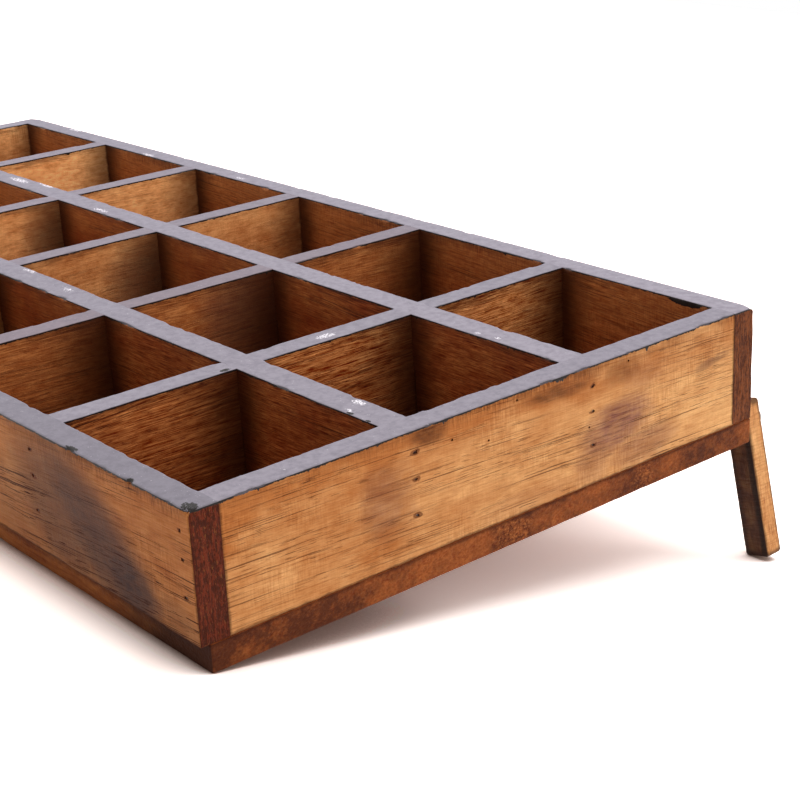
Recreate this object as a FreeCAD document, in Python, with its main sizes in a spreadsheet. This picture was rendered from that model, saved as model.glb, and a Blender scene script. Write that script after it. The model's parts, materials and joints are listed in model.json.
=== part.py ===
"""Wooden compartment tray: a nailed frame with a notched grid of dividers and two swing-out legs.

Lengths are in millimetres. The boards are drawn in the tray's own frame: X runs from the outer face of
the front board to the back, Y along the length from its middle, Z up from the top of the bottom panel.
Every piece is then placed in the standing pose: the front edge of the panel and both feet on the table.
"""
import math
import os

import FreeCAD

DOC = FreeCAD.newDocument("compartment_tray")
SHEET = DOC.addObject("Spreadsheet::Sheet", "Dims")

# Driving sizes. Counts and angles stand apart because they do not grow with the tray.
LENGTHS = {
    "tray_length": 495.0,
    "tray_width": 230.0,
    "board_height": 40.5,
    "side_thick": 10.0,
    "end_thick": 10.0,
    "long_divider_thick": 11.0,
    "cross_divider_thick": 10.0,
    "panel_thick": 9.2,
    "panel_setback": 3.0,
    "lap_clearance": 0.1,
    "edge_ease": 0.6,
    "brad_diameter": 1.6,
    "brad_length": 22.0,
    "brad_sink": 0.6,
    "brad_clearance": 0.02,
    "brad_top_depth": 7.0,
    "brad_mid_depth": 15.5,
    "brad_low_depth": 27.0,
    "leg_width": 10.0,
    "leg_thick": 8.0,
    "leg_length": 57.0,
    "leg_head": 7.5,
    "leg_gap": 0.3,
    "pivot_rise": 5.3,
    "pivot_from_end": 6.8,
    "pivot_clearance": 0.05,
    "screw_diameter": 3.0,
    "screw_depth": 18.0,
    "screw_head_diameter": 6.4,
    "screw_head_thick": 2.2,
    "screw_slot_width": 0.9,
    "screw_slot_depth": 1.1,
    "overrun": 1.0,
}
COUNTS = {"column_count": 3, "row_count": 6, "panel_brad_count": 6}
ANGLES = {"leg_splay_degrees": 12.6}

for line, (alias, value) in enumerate({**LENGTHS, **COUNTS, **ANGLES}.items(), start=1):
    SHEET.set(f"A{line}", alias)
    SHEET.set(f"B{line}", str(value))
    SHEET.setAlias(f"B{line}", alias)
DOC.recompute()


def size(alias):
    """Value of one driving size."""
    return float(SHEET.get(alias))


def ref(alias):
    """Name of one driving size inside an expression."""
    return f"Dims.{alias}"


# Places that several pieces share, written once as expressions.
HALF_LENGTH = f"{ref('tray_length')} / 2"
INNER_WIDTH = f"({ref('tray_width')} - 2 * {ref('side_thick')})"
INNER_LENGTH = f"({ref('tray_length')} - 2 * {ref('end_thick')})"
COLUMN_PITCH = (f"(({INNER_WIDTH} - ({ref('column_count')} - 1) * {ref('long_divider_thick')})"
                f" / {ref('column_count')} + {ref('long_divider_thick')})")
ROW_PITCH = (f"(({INNER_LENGTH} - ({ref('row_count')} - 1) * {ref('cross_divider_thick')})"
             f" / {ref('row_count')} + {ref('cross_divider_thick')})")
FIRST_LONG = f"({ref('side_thick')} + {COLUMN_PITCH} - {ref('long_divider_thick')} / 2)"
FIRST_CROSS = f"({ref('end_thick')} - {HALF_LENGTH} + {ROW_PITCH} - {ref('cross_divider_thick')} / 2)"
END_MIDDLE = f"({HALF_LENGTH} - {ref('end_thick')} / 2)"
HALF_BOARD = f"({ref('board_height')} / 2)"
BRAD_HOLE = f"({ref('brad_diameter')} / 2 + {ref('brad_clearance')})"
BRAD_TIP = f"({ref('brad_length')} + {ref('brad_sink')})"
BRAD_DEPTHS = [ref(alias) for alias in ("brad_top_depth", "brad_mid_depth", "brad_low_depth")]
BRAD_LEVELS = [f"({ref('board_height')} - {depth})" for depth in BRAD_DEPTHS]
FRONT_PANEL_BRADS = f"(({ref('panel_setback')} + {ref('side_thick')}) / 2)"
BACK_PANEL_BRADS = f"({ref('tray_width')} - {ref('side_thick')} / 2)"
PANEL_BRAD_PITCH = f"({ref('tray_length')} / {ref('panel_brad_count')})"
FIRST_PANEL_BRAD = f"({PANEL_BRAD_PITCH} / 2 - {HALF_LENGTH})"
FIRST_END_BRAD = f"({FIRST_LONG} - {COLUMN_PITCH} / 2)"
END_BRAD_SPAN = f"({COLUMN_PITCH} * ({ref('column_count')} - 1))"
PIVOT_LEVEL = f"({ref('pivot_rise')} - {ref('panel_thick')})"
PIVOT_ALONG = f"({HALF_LENGTH} - {ref('pivot_from_end')})"

LONG_COUNT = int(size("column_count")) - 1
CROSS_COUNT = int(size("row_count")) - 1
PANEL_BRAD_COUNT = int(size("panel_brad_count"))
END_BRAD_COUNT = 2
END_COUNT = 2

# A cylinder stands on +Z; these turns lay it along the named way.
TURNS = {
    "+X": FreeCAD.Rotation(FreeCAD.Vector(0, 1, 0), 90),
    "-X": FreeCAD.Rotation(FreeCAD.Vector(0, 1, 0), -90),
    "+Y": FreeCAD.Rotation(FreeCAD.Vector(1, 0, 0), -90),
    "-Y": FreeCAD.Rotation(FreeCAD.Vector(1, 0, 0), 90),
    "+Z": FreeCAD.Rotation(),
}


def standing_pose():
    """Placement of the tray on its front edge and feet, table at Z 0, box centred over the origin."""
    ease = size("edge_ease")
    splay = math.radians(size("leg_splay_degrees"))
    foot_reach = size("leg_length") - size("leg_head") - ease
    foot_level = (size("pivot_rise") - size("panel_thick") - foot_reach * math.cos(splay)
                  - (size("leg_width") / 2 - ease) * math.sin(splay))
    foot_inner = size("tray_width") + size("leg_gap") + ease
    foot_outer = size("tray_width") + size("leg_gap") + size("leg_thick") - ease
    front = size("panel_setback") + ease
    front_level = ease - size("panel_thick")
    tilt = math.atan2(front_level - foot_level, foot_inner - front)
    lift = ease - front * math.sin(tilt) - front_level * math.cos(tilt)
    low_x = ease * math.cos(tilt) - (size("board_height") - ease) * math.sin(tilt) - ease
    high_x = foot_outer * math.cos(tilt) - foot_level * math.sin(tilt) + ease
    turn = FreeCAD.Rotation(FreeCAD.Vector(0, 1, 0), -math.degrees(tilt))
    return FreeCAD.Placement(FreeCAD.Vector(-(low_x + high_x) / 2, 0, lift), turn)


STANDING = standing_pose()


def bind(item, bindings):
    """Tie properties of an object to expressions."""
    for path, expression in bindings.items():
        item.setExpression(path, expression)


def place(item, corner, turn="+Z"):
    """Set an object's own turn and tie its position to expressions."""
    item.Placement = FreeCAD.Placement(FreeCAD.Vector(), TURNS[turn])
    bind(item, {f"Placement.Base.{axis}": value for axis, value in zip("xyz", corner)})


def new_body(label):
    body = DOC.addObject("PartDesign::Body", label)
    body.Label = label
    return body


def block(body, kind, name, extents, corner):
    """Box feature of a body: extents and low corner as expressions."""
    box = body.newObject(f"PartDesign::{kind}Box", name)
    bind(box, dict(zip(("Length", "Width", "Height"), extents)))
    place(box, corner)
    DOC.recompute()
    return box


def rod(body, kind, name, radius, length, start, turn):
    """Cylinder feature of a body, from its start along the named way."""
    cylinder = body.newObject(f"PartDesign::{kind}Cylinder", name)
    bind(cylinder, {"Radius": radius, "Height": length})
    place(cylinder, start, turn)
    DOC.recompute()
    return cylinder


def repeat(body, name, feature, axis, span, count):
    """Copies of a feature in a row along one axis of the body."""
    row = body.newObject("PartDesign::LinearPattern", name)
    row.Originals = [feature]
    line = next(item for item in body.Origin.OriginFeatures if item.Role == f"{axis}_Axis")
    row.Direction = (line, [""])
    row.setExpression("Length", span)
    row.Occurrences = count
    body.Tip = row
    DOC.recompute()


def brad_row(body, name, depth, start, turn, axis, span, count):
    """Row of equal brad holes along one axis of the body."""
    hole = rod(body, "Subtractive", f"{name}_hole", BRAD_HOLE, depth, start, turn)
    repeat(body, f"{name}_holes", hole, axis, span, count)


def ease_edges(body, feature, wanted):
    """Round the edges of a feature whose middle point passes the test."""
    names = []
    for number, edge in enumerate(feature.Shape.Edges, start=1):
        middle = edge.BoundBox.Center
        if wanted(middle, feature.Shape.BoundBox):
            names.append(f"Edge{number}")
    rounded = body.newObject("PartDesign::Fillet", f"{feature.Name}_ease")
    rounded.Base = (feature, names)
    rounded.setExpression("Radius", ref("edge_ease"))
    DOC.recompute()
    return rounded


def near(value, target):
    """True for two places closer than the rounding of an edge."""
    return abs(value - target) < size("edge_ease")


def top_long_x(point, box):
    return near(point.z, box.ZMax) and near(point.x, box.Center.x)


def top_long_y(point, box):
    return near(point.z, box.ZMax) and near(point.y, box.Center.y)


def bottom(point, box):
    return near(point.z, box.ZMin)


def every(point, box):
    return True


def side_board(label, low_x, outer_x, turn, panel_brads):
    """Long outer board with brad holes for the cross dividers, the end boards and the panel."""
    body = new_body(label)
    board = block(body, "Additive", f"{label}_board",
                  (ref("side_thick"), ref("tray_length"), ref("board_height")),
                  (low_x, f"-({HALF_LENGTH})", "0"))
    ease_edges(body, board, top_long_y)
    for number, level in enumerate(BRAD_LEVELS, start=1):
        brad_row(body, f"{label}_divider_{number}", ref("side_thick"), (outer_x, FIRST_CROSS, level), turn,
                 "Y", f"{ROW_PITCH} * ({CROSS_COUNT - 1})", CROSS_COUNT)
        brad_row(body, f"{label}_corner_{number}", ref("side_thick"), (outer_x, f"-{END_MIDDLE}", level),
                 turn, "Y", f"2 * {END_MIDDLE}", END_COUNT)
    brad_row(body, f"{label}_panel", f"{BRAD_TIP} - {ref('panel_thick')}",
             (panel_brads, FIRST_PANEL_BRAD, "0"), "+Z", "Y",
             f"{PANEL_BRAD_PITCH} * ({PANEL_BRAD_COUNT - 1})", PANEL_BRAD_COUNT)
    return body


def end_board(label, low_y, outer_y, turn, middle_y):
    """Short outer board held between the side boards."""
    body = new_body(label)
    board = block(body, "Additive", f"{label}_board",
                  (INNER_WIDTH, ref("end_thick"), ref("board_height")), (ref("side_thick"), low_y, "0"))
    ease_edges(body, board, top_long_x)
    for number, level in enumerate(BRAD_LEVELS, start=1):
        brad_row(body, f"{label}_divider_{number}", ref("end_thick"), (FIRST_LONG, outer_y, level), turn,
                 "X", f"{COLUMN_PITCH} * ({LONG_COUNT - 1})", LONG_COUNT)
    blind_holes_x(body, label, middle_y)
    brad_row(body, f"{label}_panel", f"{BRAD_TIP} - {ref('panel_thick')}",
             (FIRST_END_BRAD, middle_y, "0"), "+Z", "X", END_BRAD_SPAN, END_BRAD_COUNT)
    return body


def blind_holes_x(body, label, middle_y):
    """Holes in both ends of a board that runs across the tray, for the brads of the side boards."""
    depth = f"{BRAD_TIP} - {ref('side_thick')}"
    far_face = f"{ref('tray_width')} - {ref('side_thick')}"
    for number, level in enumerate(BRAD_LEVELS, start=1):
        rod(body, "Subtractive", f"{label}_front_hole_{number}", BRAD_HOLE, depth,
            (ref("side_thick"), middle_y, level), "+X")
        rod(body, "Subtractive", f"{label}_back_hole_{number}", BRAD_HOLE, depth,
            (far_face, middle_y, level), "-X")


def long_divider(label, number):
    """Full-length divider, notched from below over each cross divider."""
    middle_x = f"({FIRST_LONG} + {number} * {COLUMN_PITCH})"
    body = new_body(label)
    board = block(body, "Additive", f"{label}_board",
                  (ref("long_divider_thick"), INNER_LENGTH, ref("board_height")),
                  (f"{middle_x} - {ref('long_divider_thick')} / 2", f"-({INNER_LENGTH} / 2)", "0"))
    ease_edges(body, board, top_long_y)
    notch_width = f"({ref('cross_divider_thick')} + 2 * {ref('lap_clearance')})"
    notch = block(body, "Subtractive", f"{label}_notch",
                  (f"{ref('long_divider_thick')} + 2 * {ref('overrun')}", notch_width,
                   f"{HALF_BOARD} + {ref('overrun')}"),
                  (f"{middle_x} - {ref('long_divider_thick')} / 2 - {ref('overrun')}",
                   f"{FIRST_CROSS} - {notch_width} / 2", f"-{ref('overrun')}"))
    repeat(body, f"{label}_notches", notch, "Y", f"{ROW_PITCH} * ({CROSS_COUNT - 1})", CROSS_COUNT)
    depth = f"{BRAD_TIP} - {ref('end_thick')}"
    for hole, level in enumerate(BRAD_LEVELS, start=1):
        rod(body, "Subtractive", f"{label}_near_hole_{hole}", BRAD_HOLE, depth,
            (middle_x, f"-({INNER_LENGTH} / 2)", level), "+Y")
        rod(body, "Subtractive", f"{label}_far_hole_{hole}", BRAD_HOLE, depth,
            (middle_x, f"{INNER_LENGTH} / 2", level), "-Y")
    return body


def cross_divider(label, number):
    """Full-width divider, notched from above under each long divider."""
    middle_y = f"({FIRST_CROSS} + {number} * {ROW_PITCH})"
    body = new_body(label)
    board = block(body, "Additive", f"{label}_board",
                  (INNER_WIDTH, ref("cross_divider_thick"), ref("board_height")),
                  (ref("side_thick"), f"{middle_y} - {ref('cross_divider_thick')} / 2", "0"))
    ease_edges(body, board, top_long_x)
    notch_width = f"({ref('long_divider_thick')} + 2 * {ref('lap_clearance')})"
    notch = block(body, "Subtractive", f"{label}_notch",
                  (notch_width, f"{ref('cross_divider_thick')} + 2 * {ref('overrun')}",
                   f"{HALF_BOARD} + {ref('overrun')}"),
                  (f"{FIRST_LONG} - {notch_width} / 2",
                   f"{middle_y} - {ref('cross_divider_thick')} / 2 - {ref('overrun')}", HALF_BOARD))
    repeat(body, f"{label}_notches", notch, "X", f"{COLUMN_PITCH} * ({LONG_COUNT - 1})", LONG_COUNT)
    blind_holes_x(body, label, middle_y)
    return body


def bottom_panel(label):
    """Panel under the frame, set back at the front, drilled for its brads and the leg screws."""
    body = new_body(label)
    panel = block(body, "Additive", f"{label}_board",
                  (f"{ref('tray_width')} - {ref('panel_setback')}", ref("tray_length"),
                   ref("panel_thick")),
                  (ref("panel_setback"), f"-({HALF_LENGTH})", f"-{ref('panel_thick')}"))
    ease_edges(body, panel, bottom)
    under = f"-{ref('panel_thick')}"
    for name, middle_x in (("front", FRONT_PANEL_BRADS), ("back", BACK_PANEL_BRADS)):
        brad_row(body, f"{label}_{name}", ref("panel_thick"), (middle_x, FIRST_PANEL_BRAD, under), "+Z",
                 "Y", f"{PANEL_BRAD_PITCH} * ({PANEL_BRAD_COUNT - 1})", PANEL_BRAD_COUNT)
    for name, sign in (("near", "-"), ("far", "")):
        brad_row(body, f"{label}_{name}", ref("panel_thick"),
                 (FIRST_END_BRAD, f"{sign}{END_MIDDLE}", under), "+Z", "X", END_BRAD_SPAN, END_BRAD_COUNT)
    for name, sign in (("near", "-"), ("far", "")):
        rod(body, "Subtractive", f"{label}_{name}_pilot",
            f"{ref('screw_diameter')} / 2 + {ref('brad_clearance')}", ref("screw_depth"),
            (ref("tray_width"), f"{sign}{PIVOT_ALONG}", PIVOT_LEVEL), "-X")
    return body


def brads(label, starts, turn):
    """Group of like brads, each driven a little below the face it enters."""
    pins = []
    for number, start in enumerate(starts, start=1):
        pin = DOC.addObject("Part::Cylinder", f"{label}_pin_{number}")
        bind(pin, {"Radius": f"{ref('brad_diameter')} / 2", "Height": ref("brad_length")})
        place(pin, start, turn)
        pins.append(pin)
    group = DOC.addObject("Part::Compound", label)
    group.Label = label
    group.Links = pins
    return group


def side_brad_starts(start_x):
    """Starts of the brads along one side board: three at each cross divider and at each corner."""
    rows = [f"({FIRST_CROSS} + {number} * {ROW_PITCH})" for number in range(CROSS_COUNT)]
    rows += [f"-{END_MIDDLE}", END_MIDDLE]
    return [(start_x, along, level) for along in rows for level in BRAD_LEVELS]


def end_brad_starts(start_y):
    """Starts of the brads along one end board: three at each long divider."""
    columns = [f"({FIRST_LONG} + {number} * {COLUMN_PITCH})" for number in range(LONG_COUNT)]
    return [(across, start_y, level) for across in columns for level in BRAD_LEVELS]


def panel_brad_starts():
    """Starts of the brads that hold the panel up against the frame."""
    level = f"{ref('brad_sink')} - {ref('panel_thick')}"
    starts = []
    for across in (FRONT_PANEL_BRADS, BACK_PANEL_BRADS):
        for number in range(PANEL_BRAD_COUNT):
            starts.append((across, f"{FIRST_PANEL_BRAD} + {number} * {PANEL_BRAD_PITCH}", level))
    for along in (f"-{END_MIDDLE}", END_MIDDLE):
        for number in range(END_BRAD_COUNT):
            starts.append((f"{FIRST_END_BRAD} + {number} * {END_BRAD_SPAN}", along, level))
    return starts


def leg(label):
    """Square-cut bar, drilled near its head; its own frame has the pivot on the inner face."""
    body = new_body(label)
    bar = block(body, "Additive", f"{label}_bar", (ref("leg_thick"), ref("leg_width"), ref("leg_length")),
                ("0", f"-{ref('leg_width')} / 2", f"{ref('leg_head')} - {ref('leg_length')}"))
    ease_edges(body, bar, every)
    rod(body, "Subtractive", f"{label}_hole", f"{ref('screw_diameter')} / 2 + {ref('pivot_clearance')}",
        f"{ref('leg_thick')} + 2 * {ref('overrun')}", (f"-{ref('overrun')}", "0", "0"), "+X")
    return body


def leg_screw(label):
    """Slotted wood screw that the leg swings on; its own frame has the tray's back face at X 0."""
    body = new_body(label)
    head_start = f"({ref('leg_thick')} + 2 * {ref('leg_gap')})"
    rod(body, "Additive", f"{label}_shank", f"{ref('screw_diameter')} / 2",
        f"{ref('screw_depth')} + {head_start}", (f"-{ref('screw_depth')}", "0", "0"), "+X")
    head = rod(body, "Additive", f"{label}_head", f"{ref('screw_head_diameter')} / 2",
               ref("screw_head_thick"), (head_start, "0", "0"), "+X")
    ease_edges(body, head, lambda point, box: near(point.x, box.XMax))
    slot_start = f"{head_start} + {ref('screw_head_thick')} - {ref('screw_slot_depth')}"
    block(body, "Subtractive", f"{label}_slot",
          (f"{ref('screw_slot_depth')} + {ref('overrun')}", ref("screw_slot_width"),
           f"{ref('screw_head_diameter')} + 2 * {ref('overrun')}"),
          (slot_start, f"-{ref('screw_slot_width')} / 2",
           f"-({ref('screw_head_diameter')} / 2 + {ref('overrun')})"))
    return body


NODES = [
    side_board("front_side_board", "0", "0", "+X", FRONT_PANEL_BRADS),
    side_board("back_side_board", f"{ref('tray_width')} - {ref('side_thick')}", ref("tray_width"), "-X",
               BACK_PANEL_BRADS),
    end_board("near_end_board", f"-({HALF_LENGTH})", f"-({HALF_LENGTH})", "+Y", f"-{END_MIDDLE}"),
    end_board("far_end_board", f"{HALF_LENGTH} - {ref('end_thick')}", HALF_LENGTH, "-Y", END_MIDDLE),
    long_divider("front_long_divider", 0),
    long_divider("back_long_divider", 1),
]
NODES += [cross_divider(f"cross_divider_{number + 1}", number) for number in range(CROSS_COUNT)]
NODES += [
    bottom_panel("bottom_panel"),
    brads("front_brads", side_brad_starts(ref("brad_sink")), "+X"),
    brads("back_brads", side_brad_starts(f"{ref('tray_width')} - {ref('brad_sink')}"), "-X"),
    brads("near_end_brads", end_brad_starts(f"{ref('brad_sink')} - {HALF_LENGTH}"), "+Y"),
    brads("far_end_brads", end_brad_starts(f"{HALF_LENGTH} - {ref('brad_sink')}"), "-Y"),
    brads("panel_brads", panel_brad_starts(), "+Z"),
]
for piece in NODES:
    piece.Placement = STANDING

# The screws and legs keep their own frames at the pivots; each foot is kicked out past its end.
pivot_level = size("pivot_rise") - size("panel_thick")
pivot_along = size("tray_length") / 2 - size("pivot_from_end")
for end, sign in (("near", -1), ("far", 1)):
    screw = leg_screw(f"{end}_leg_screw")
    screw.Placement = STANDING * FreeCAD.Placement(
        FreeCAD.Vector(size("tray_width"), sign * pivot_along, pivot_level), FreeCAD.Rotation())
    bar = leg(f"{end}_leg")
    swing = FreeCAD.Rotation(FreeCAD.Vector(1, 0, 0), sign * size("leg_splay_degrees"))
    bar.Placement = STANDING * FreeCAD.Placement(
        FreeCAD.Vector(size("tray_width") + size("leg_gap"), sign * pivot_along, pivot_level), swing)
    NODES += [screw, bar]
DOC.recompute()

for item in DOC.Objects:
    if "Invalid" in item.State or "Error" in item.State:
        raise RuntimeError(f"{item.Label}: {item.State}")
for piece in NODES:
    if piece.Shape.isNull() or not piece.Shape.isValid():
        raise RuntimeError(f"{piece.Label}: bad shape")

os.makedirs("parts", exist_ok=True)
for piece in NODES:
    piece.Shape.exportStep(f"parts/{piece.Label}.step")
    box = piece.Shape.BoundBox
    print(piece.Label, len(piece.Shape.Solids), round(piece.Shape.Volume, 1),
          [round(v, 2) for v in (box.XMin, box.XMax, box.YMin, box.YMax, box.ZMin, box.ZMax)])
print("standing pose", STANDING.Base, STANDING.Rotation.Axis, math.degrees(STANDING.Rotation.Angle))
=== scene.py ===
"""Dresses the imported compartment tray: stained boards, a black rim, brads and two swing-out legs.

Lengths in this file are in millimetres unless a name says otherwise. A board has its own directions:
u runs along it, v goes through it from its outer face and w goes up from its lower edge.
"""

import json
import math
from dataclasses import dataclass
from types import SimpleNamespace

import bmesh
import bpy
import numpy as np
from mathutils import Matrix, Vector


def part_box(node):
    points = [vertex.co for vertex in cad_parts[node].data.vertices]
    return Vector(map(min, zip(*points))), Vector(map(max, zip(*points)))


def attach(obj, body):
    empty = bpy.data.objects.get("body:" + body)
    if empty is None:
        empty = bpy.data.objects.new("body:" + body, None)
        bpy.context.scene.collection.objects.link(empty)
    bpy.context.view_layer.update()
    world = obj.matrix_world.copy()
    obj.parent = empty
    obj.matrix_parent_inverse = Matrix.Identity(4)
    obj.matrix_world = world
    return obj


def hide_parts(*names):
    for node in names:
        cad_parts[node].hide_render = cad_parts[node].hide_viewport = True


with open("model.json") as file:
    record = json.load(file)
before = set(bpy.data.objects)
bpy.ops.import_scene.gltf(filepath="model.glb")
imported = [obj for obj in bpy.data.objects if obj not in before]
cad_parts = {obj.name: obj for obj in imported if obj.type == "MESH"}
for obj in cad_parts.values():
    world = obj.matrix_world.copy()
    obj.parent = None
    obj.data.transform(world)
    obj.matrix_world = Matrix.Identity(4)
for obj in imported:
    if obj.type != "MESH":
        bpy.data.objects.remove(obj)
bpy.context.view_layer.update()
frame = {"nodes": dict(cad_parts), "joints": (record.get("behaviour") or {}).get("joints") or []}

bl_info = {
    "name": "Compartment Tray Dresser",
    "version": (1, 0, 0),
    "blender": (4, 5, 0),
    "location": "View3D > Sidebar > Tray",
    "description": "Dresses a stained wooden compartment tray with a black rim and two swing-out legs",
    "category": "Object",
}

MM = 0.001

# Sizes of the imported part.
TRAY_LENGTH = 495.0
TRAY_WIDTH = 230.0
BOARD_HEIGHT = 40.5
FRAME_THICK = 10.0
LONG_THICK = 11.0
CROSS_THICK = 10.0
PANEL_THICK = 9.2
PANEL_SETBACK = 3.0
LAP_CLEARANCE = 0.1
COLUMNS = 3
ROWS = 6
BRAD_RADIUS = 0.82
BRAD_REACH = 22.6
BRAD_LEVELS = (33.5, 25.0, 13.5)
PANEL_BRADS = 6
PILOT_RADIUS = 1.52
PILOT_DEPTH = 18.0
LEG_THICK = 8.0
LEG_WIDTH = 10.0
LEG_LENGTH = 57.0
LEG_HEAD = 7.5
LEG_GAP = 0.3
LEG_SPLAY = math.radians(12.6)
LEG_BORE = 1.55
PIVOT_LEVEL = -3.9
PIVOT_FROM_END = 6.8

# Hand work and mesh.
OVERRUN = 1.0
COVERED_EASE = 0.03
NICK_PITCH = 22.0
JOINT_FILL = 0.6
STRAY_DEPTH = 1.5
STRAY_RADIUS = 0.42
HOLE_SIDES = 14
EDGE_LINES = np.array([0.0, 0.3, 0.7, 1.2, 2.0, 3.4, 5.2])
CROSSWISE_STEP = 2.6
SHARP_ANGLE = math.radians(38)

# Numbers of the boards, and where each kind of random draw starts, keep their draws and noise apart.
FIRST_DIVIDER = 5
PANEL = 13
FIRST_LEG = 14
DRAWS_PER_BOARD = 100
EDGE_DRAWS = 10
TOOL_DRAWS = 50
NICK_DRAWS = 60

# Stage.
CAMERA_PLACE_M = (-0.37435, -0.60379, 0.19091)
CAMERA_TURN_DEGREES = (76.014, -5.7222, -40.3824)
LIGHT_WIDTH = math.radians(60)
FLOOR_HALF_M = 40.0
SHADE_REACH = 22.0
SHADE_TINT = (0.58, 0.43, 0.37, 1.0)
FLOOR_GLOW = (1.7, 1.55, 1.49, 1.0)
ROOM_TINT = (1.0, 0.96, 0.93)
WHITE = (1.0, 1.0, 1.0, 1.0)

HALF_LENGTH = TRAY_LENGTH / 2
INNER_LENGTH = TRAY_LENGTH - 2 * FRAME_THICK
INNER_WIDTH = TRAY_WIDTH - 2 * FRAME_THICK
COLUMN_PITCH = (INNER_WIDTH + LONG_THICK) / COLUMNS
ROW_PITCH = (INNER_LENGTH + CROSS_THICK) / ROWS
LONG_PLACES = [FRAME_THICK + COLUMN_PITCH * n - LONG_THICK / 2 for n in range(1, COLUMNS)]
CROSS_PLACES = [FRAME_THICK + ROW_PITCH * n - CROSS_THICK / 2 - HALF_LENGTH for n in range(1, ROWS)]
END_MIDDLE = HALF_LENGTH - FRAME_THICK / 2
PANEL_BRAD_PITCH = TRAY_LENGTH / PANEL_BRADS
PANEL_BRAD_PLACES = [PANEL_BRAD_PITCH * (n + 0.5) - HALF_LENGTH for n in range(PANEL_BRADS)]
END_BRAD_PLACES = [LONG_PLACES[0] - COLUMN_PITCH / 2, LONG_PLACES[1] + COLUMN_PITCH / 2]
FRONT_PANEL_BRADS = (PANEL_SETBACK + FRAME_THICK) / 2
BACK_PANEL_BRADS = TRAY_WIDTH - FRAME_THICK / 2

# Edges are named by the way they run (0 along, 1 through, 2 up) and which of the other two sides they are on.
TOP_OUTER = (0, False, True)
TOP_INNER = (0, True, True)
NEAR_CORNER = (2, False, False)
NEAR_TOP_CUT = (1, False, True)
NEAR_FOOT_CUT = (1, False, False)
FRONT_FOOT = (0, False, False)
INNER_END_EDGES = ((2, False, True), (2, True, True))


def tray_stand():
    """Where the tray stands: its slope from the legs' axis, its place from the front board."""
    axis = Vector(frame["joints"][0]["axis"])
    slope = math.atan2(axis.z, axis.x)
    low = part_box("front_side_board")[0]
    place = Vector((low.x + BOARD_HEIGHT * MM * math.sin(slope), 0.0, low.z))
    return Matrix.Translation(place) @ Matrix.Rotation(-slope, 4, "Y")


STAND = tray_stand()


# Settings a user would change.

def colour(name, description, red, green, blue):
    """Colour setting, given as it looks on screen from 0 to 255."""
    return bpy.props.FloatVectorProperty(name=name, description=description, subtype="COLOR_GAMMA", size=3,
                                         min=0.0, max=1.0, default=(red / 255, green / 255, blue / 255))


def amount(name, description, default, **limits):
    """Setting of a strength, 0 or more."""
    limits = {"min": 0.0, **limits}
    return bpy.props.FloatProperty(name=name, description=description, default=default, **limits)


def span(name, description, size):
    """Setting of a length."""
    return amount(name, description, size * MM, unit="LENGTH")


class TrayShape(bpy.types.PropertyGroup):
    """Sizes of the hand work on the boards."""
    ease: span("Edge easing", "Radius that the edges are rubbed to", 0.6)
    wobble: span("Hand planing", "How far a face wanders from flat", 0.22)
    nick: span("Nicks", "Depth of the larger nicks along the rim", 1.2)
    brad_mouth: span("Brad mouth", "Half the length that a brad hole has torn to", 0.85)


class TrayFinish(bpy.types.PropertyGroup):
    """Colours of the stains, the rim paint and the metal."""
    golden: colour("Golden stain", "Thinnest stain on the outer faces", 231, 174, 114)
    honey: colour("Honey stain", "Plain stain", 176, 108, 56)
    russet: colour("Russet stain", "Stain that was left on inside the compartments", 136, 63, 28)
    # Umber is also the colour of painted shade in the compartments' corners and on the panel's edges.
    umber: colour("Umber stain", "Stain caught in the grain and corners", 54, 20, 8)
    bruise: colour("Bruises", "What a rubbed-in smudge leaves of the stain's colour", 150, 130, 172)
    # Also the colour of painted shade in the cross dividers' corners by the back long divider.
    smoke_and_shade_colour: colour("Smoke", "Smoky bands on the front board", 66, 49, 47)
    end_grain: colour("End grain", "Stain drunk up by the cut ends", 112, 48, 29)
    panel_edge: colour("Panel edge", "Sawn edges of the panel", 141, 75, 34)
    # Stain and painted shade on a leg's face towards the tray.
    leg_stain_and_shade: colour("Soot", "Dark face of a leg", 76, 44, 34)
    # Black satin paint lightened to grey by painted reflection of the white room.
    rim: colour("Rim paint", "Satin paint on the upper edges", 100, 94, 101)
    rim_edge: colour("Rim edge", "Paint where it ran over the sides", 27, 22, 20)
    bloom: colour("Rim bloom", "Tint of the rim paint seen along its surface", 222, 210, 242)
    # Also the colour of painted glints on the chipped paint at the front board's near corner.
    scuff_and_glint: colour("Scuffs", "Pale rubbed spots on the rim", 240, 236, 240)
    steel: colour("Brad steel", "Dull steel of the brads", 92, 88, 86)
    zinc: colour("Screw zinc", "Grey zinc of the leg screws", 158, 156, 152)
    sheen: amount("Rim roughness", "Roughness of the rim paint", 0.36, max=1.0, subtype="FACTOR")


class TrayStage(bpy.types.PropertyGroup):
    """Floor, light and camera."""
    floor: colour("Floor", "Colour of the floor", 232, 230, 228)
    fill: amount("Room light", "Even light from all round", 0.33)
    key: amount("Main light", "Strength of the soft light from above", 2.1)
    front: amount("Front light", "Strength of the low light from the near end", 1.36)
    side: amount("Side light", "Strength of the light from the back of the tray", 1.5)
    lens: amount("Lens", "Focal length of the camera", 78.15, min=1.0, subtype="DISTANCE_CAMERA")


def linear(shade):
    """Colour as the light adds up, from a colour as it looks on screen."""
    return tuple(c / 12.92 if c <= 0.04045 else ((c + 0.055) / 1.055) ** 2.4 for c in shade) + (1.0,)


def between(first, second, share):
    """Colour part of the way from one to another."""
    return tuple(a + (b - a) * share for a, b in zip(first, second))


def dimmed(shade, share):
    """Colour with its light scaled."""
    return tuple(level * share for level in shade[:3]) + (1.0,)


def palette(finish):
    """The finish's colours as the light adds up, by their own names, and the rim's roughness."""
    names = [name for name in TrayFinish.__annotations__ if name != "sheen"]
    return SimpleNamespace(sheen=finish.sheen, **{name: linear(getattr(finish, name)) for name in names})


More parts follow.
